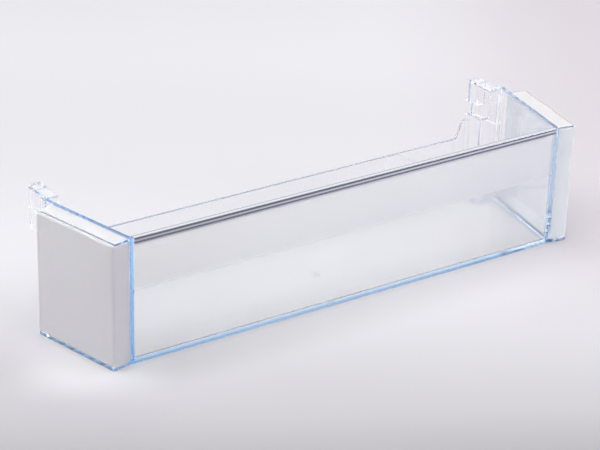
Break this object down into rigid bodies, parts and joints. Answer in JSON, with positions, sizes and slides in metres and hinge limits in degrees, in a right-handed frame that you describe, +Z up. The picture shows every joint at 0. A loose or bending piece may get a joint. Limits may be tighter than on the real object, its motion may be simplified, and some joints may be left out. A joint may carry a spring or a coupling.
{
  "type": "fridge door shelf",
  "caption": "Clear moulded fridge door shelf with a low ramped back, rear hooks for the door's bosses, frosted end caps and a bright strip along the front rim.",
  "frame": {"origin": "on the surface it stands on, under the middle of its box", "axes": "+X along the shelf to its right end, +Y from the front panel towards the door, +Z up"},
  "size_m": [0.4732, 0.1286, 0.104],
  "materials": {
    "clear_plastic": "clear, polished, blue at the edges",
    "bright_strip": "bright",
    "cap_plastic": "frosted, translucent white"
  },
  "bodies": {
    "root": {"tray": "clear_plastic", "trim_strip": "bright_strip", "end_cap_right": "cap_plastic", "end_cap_left": "cap_plastic"}
  },
  "joints": []
}
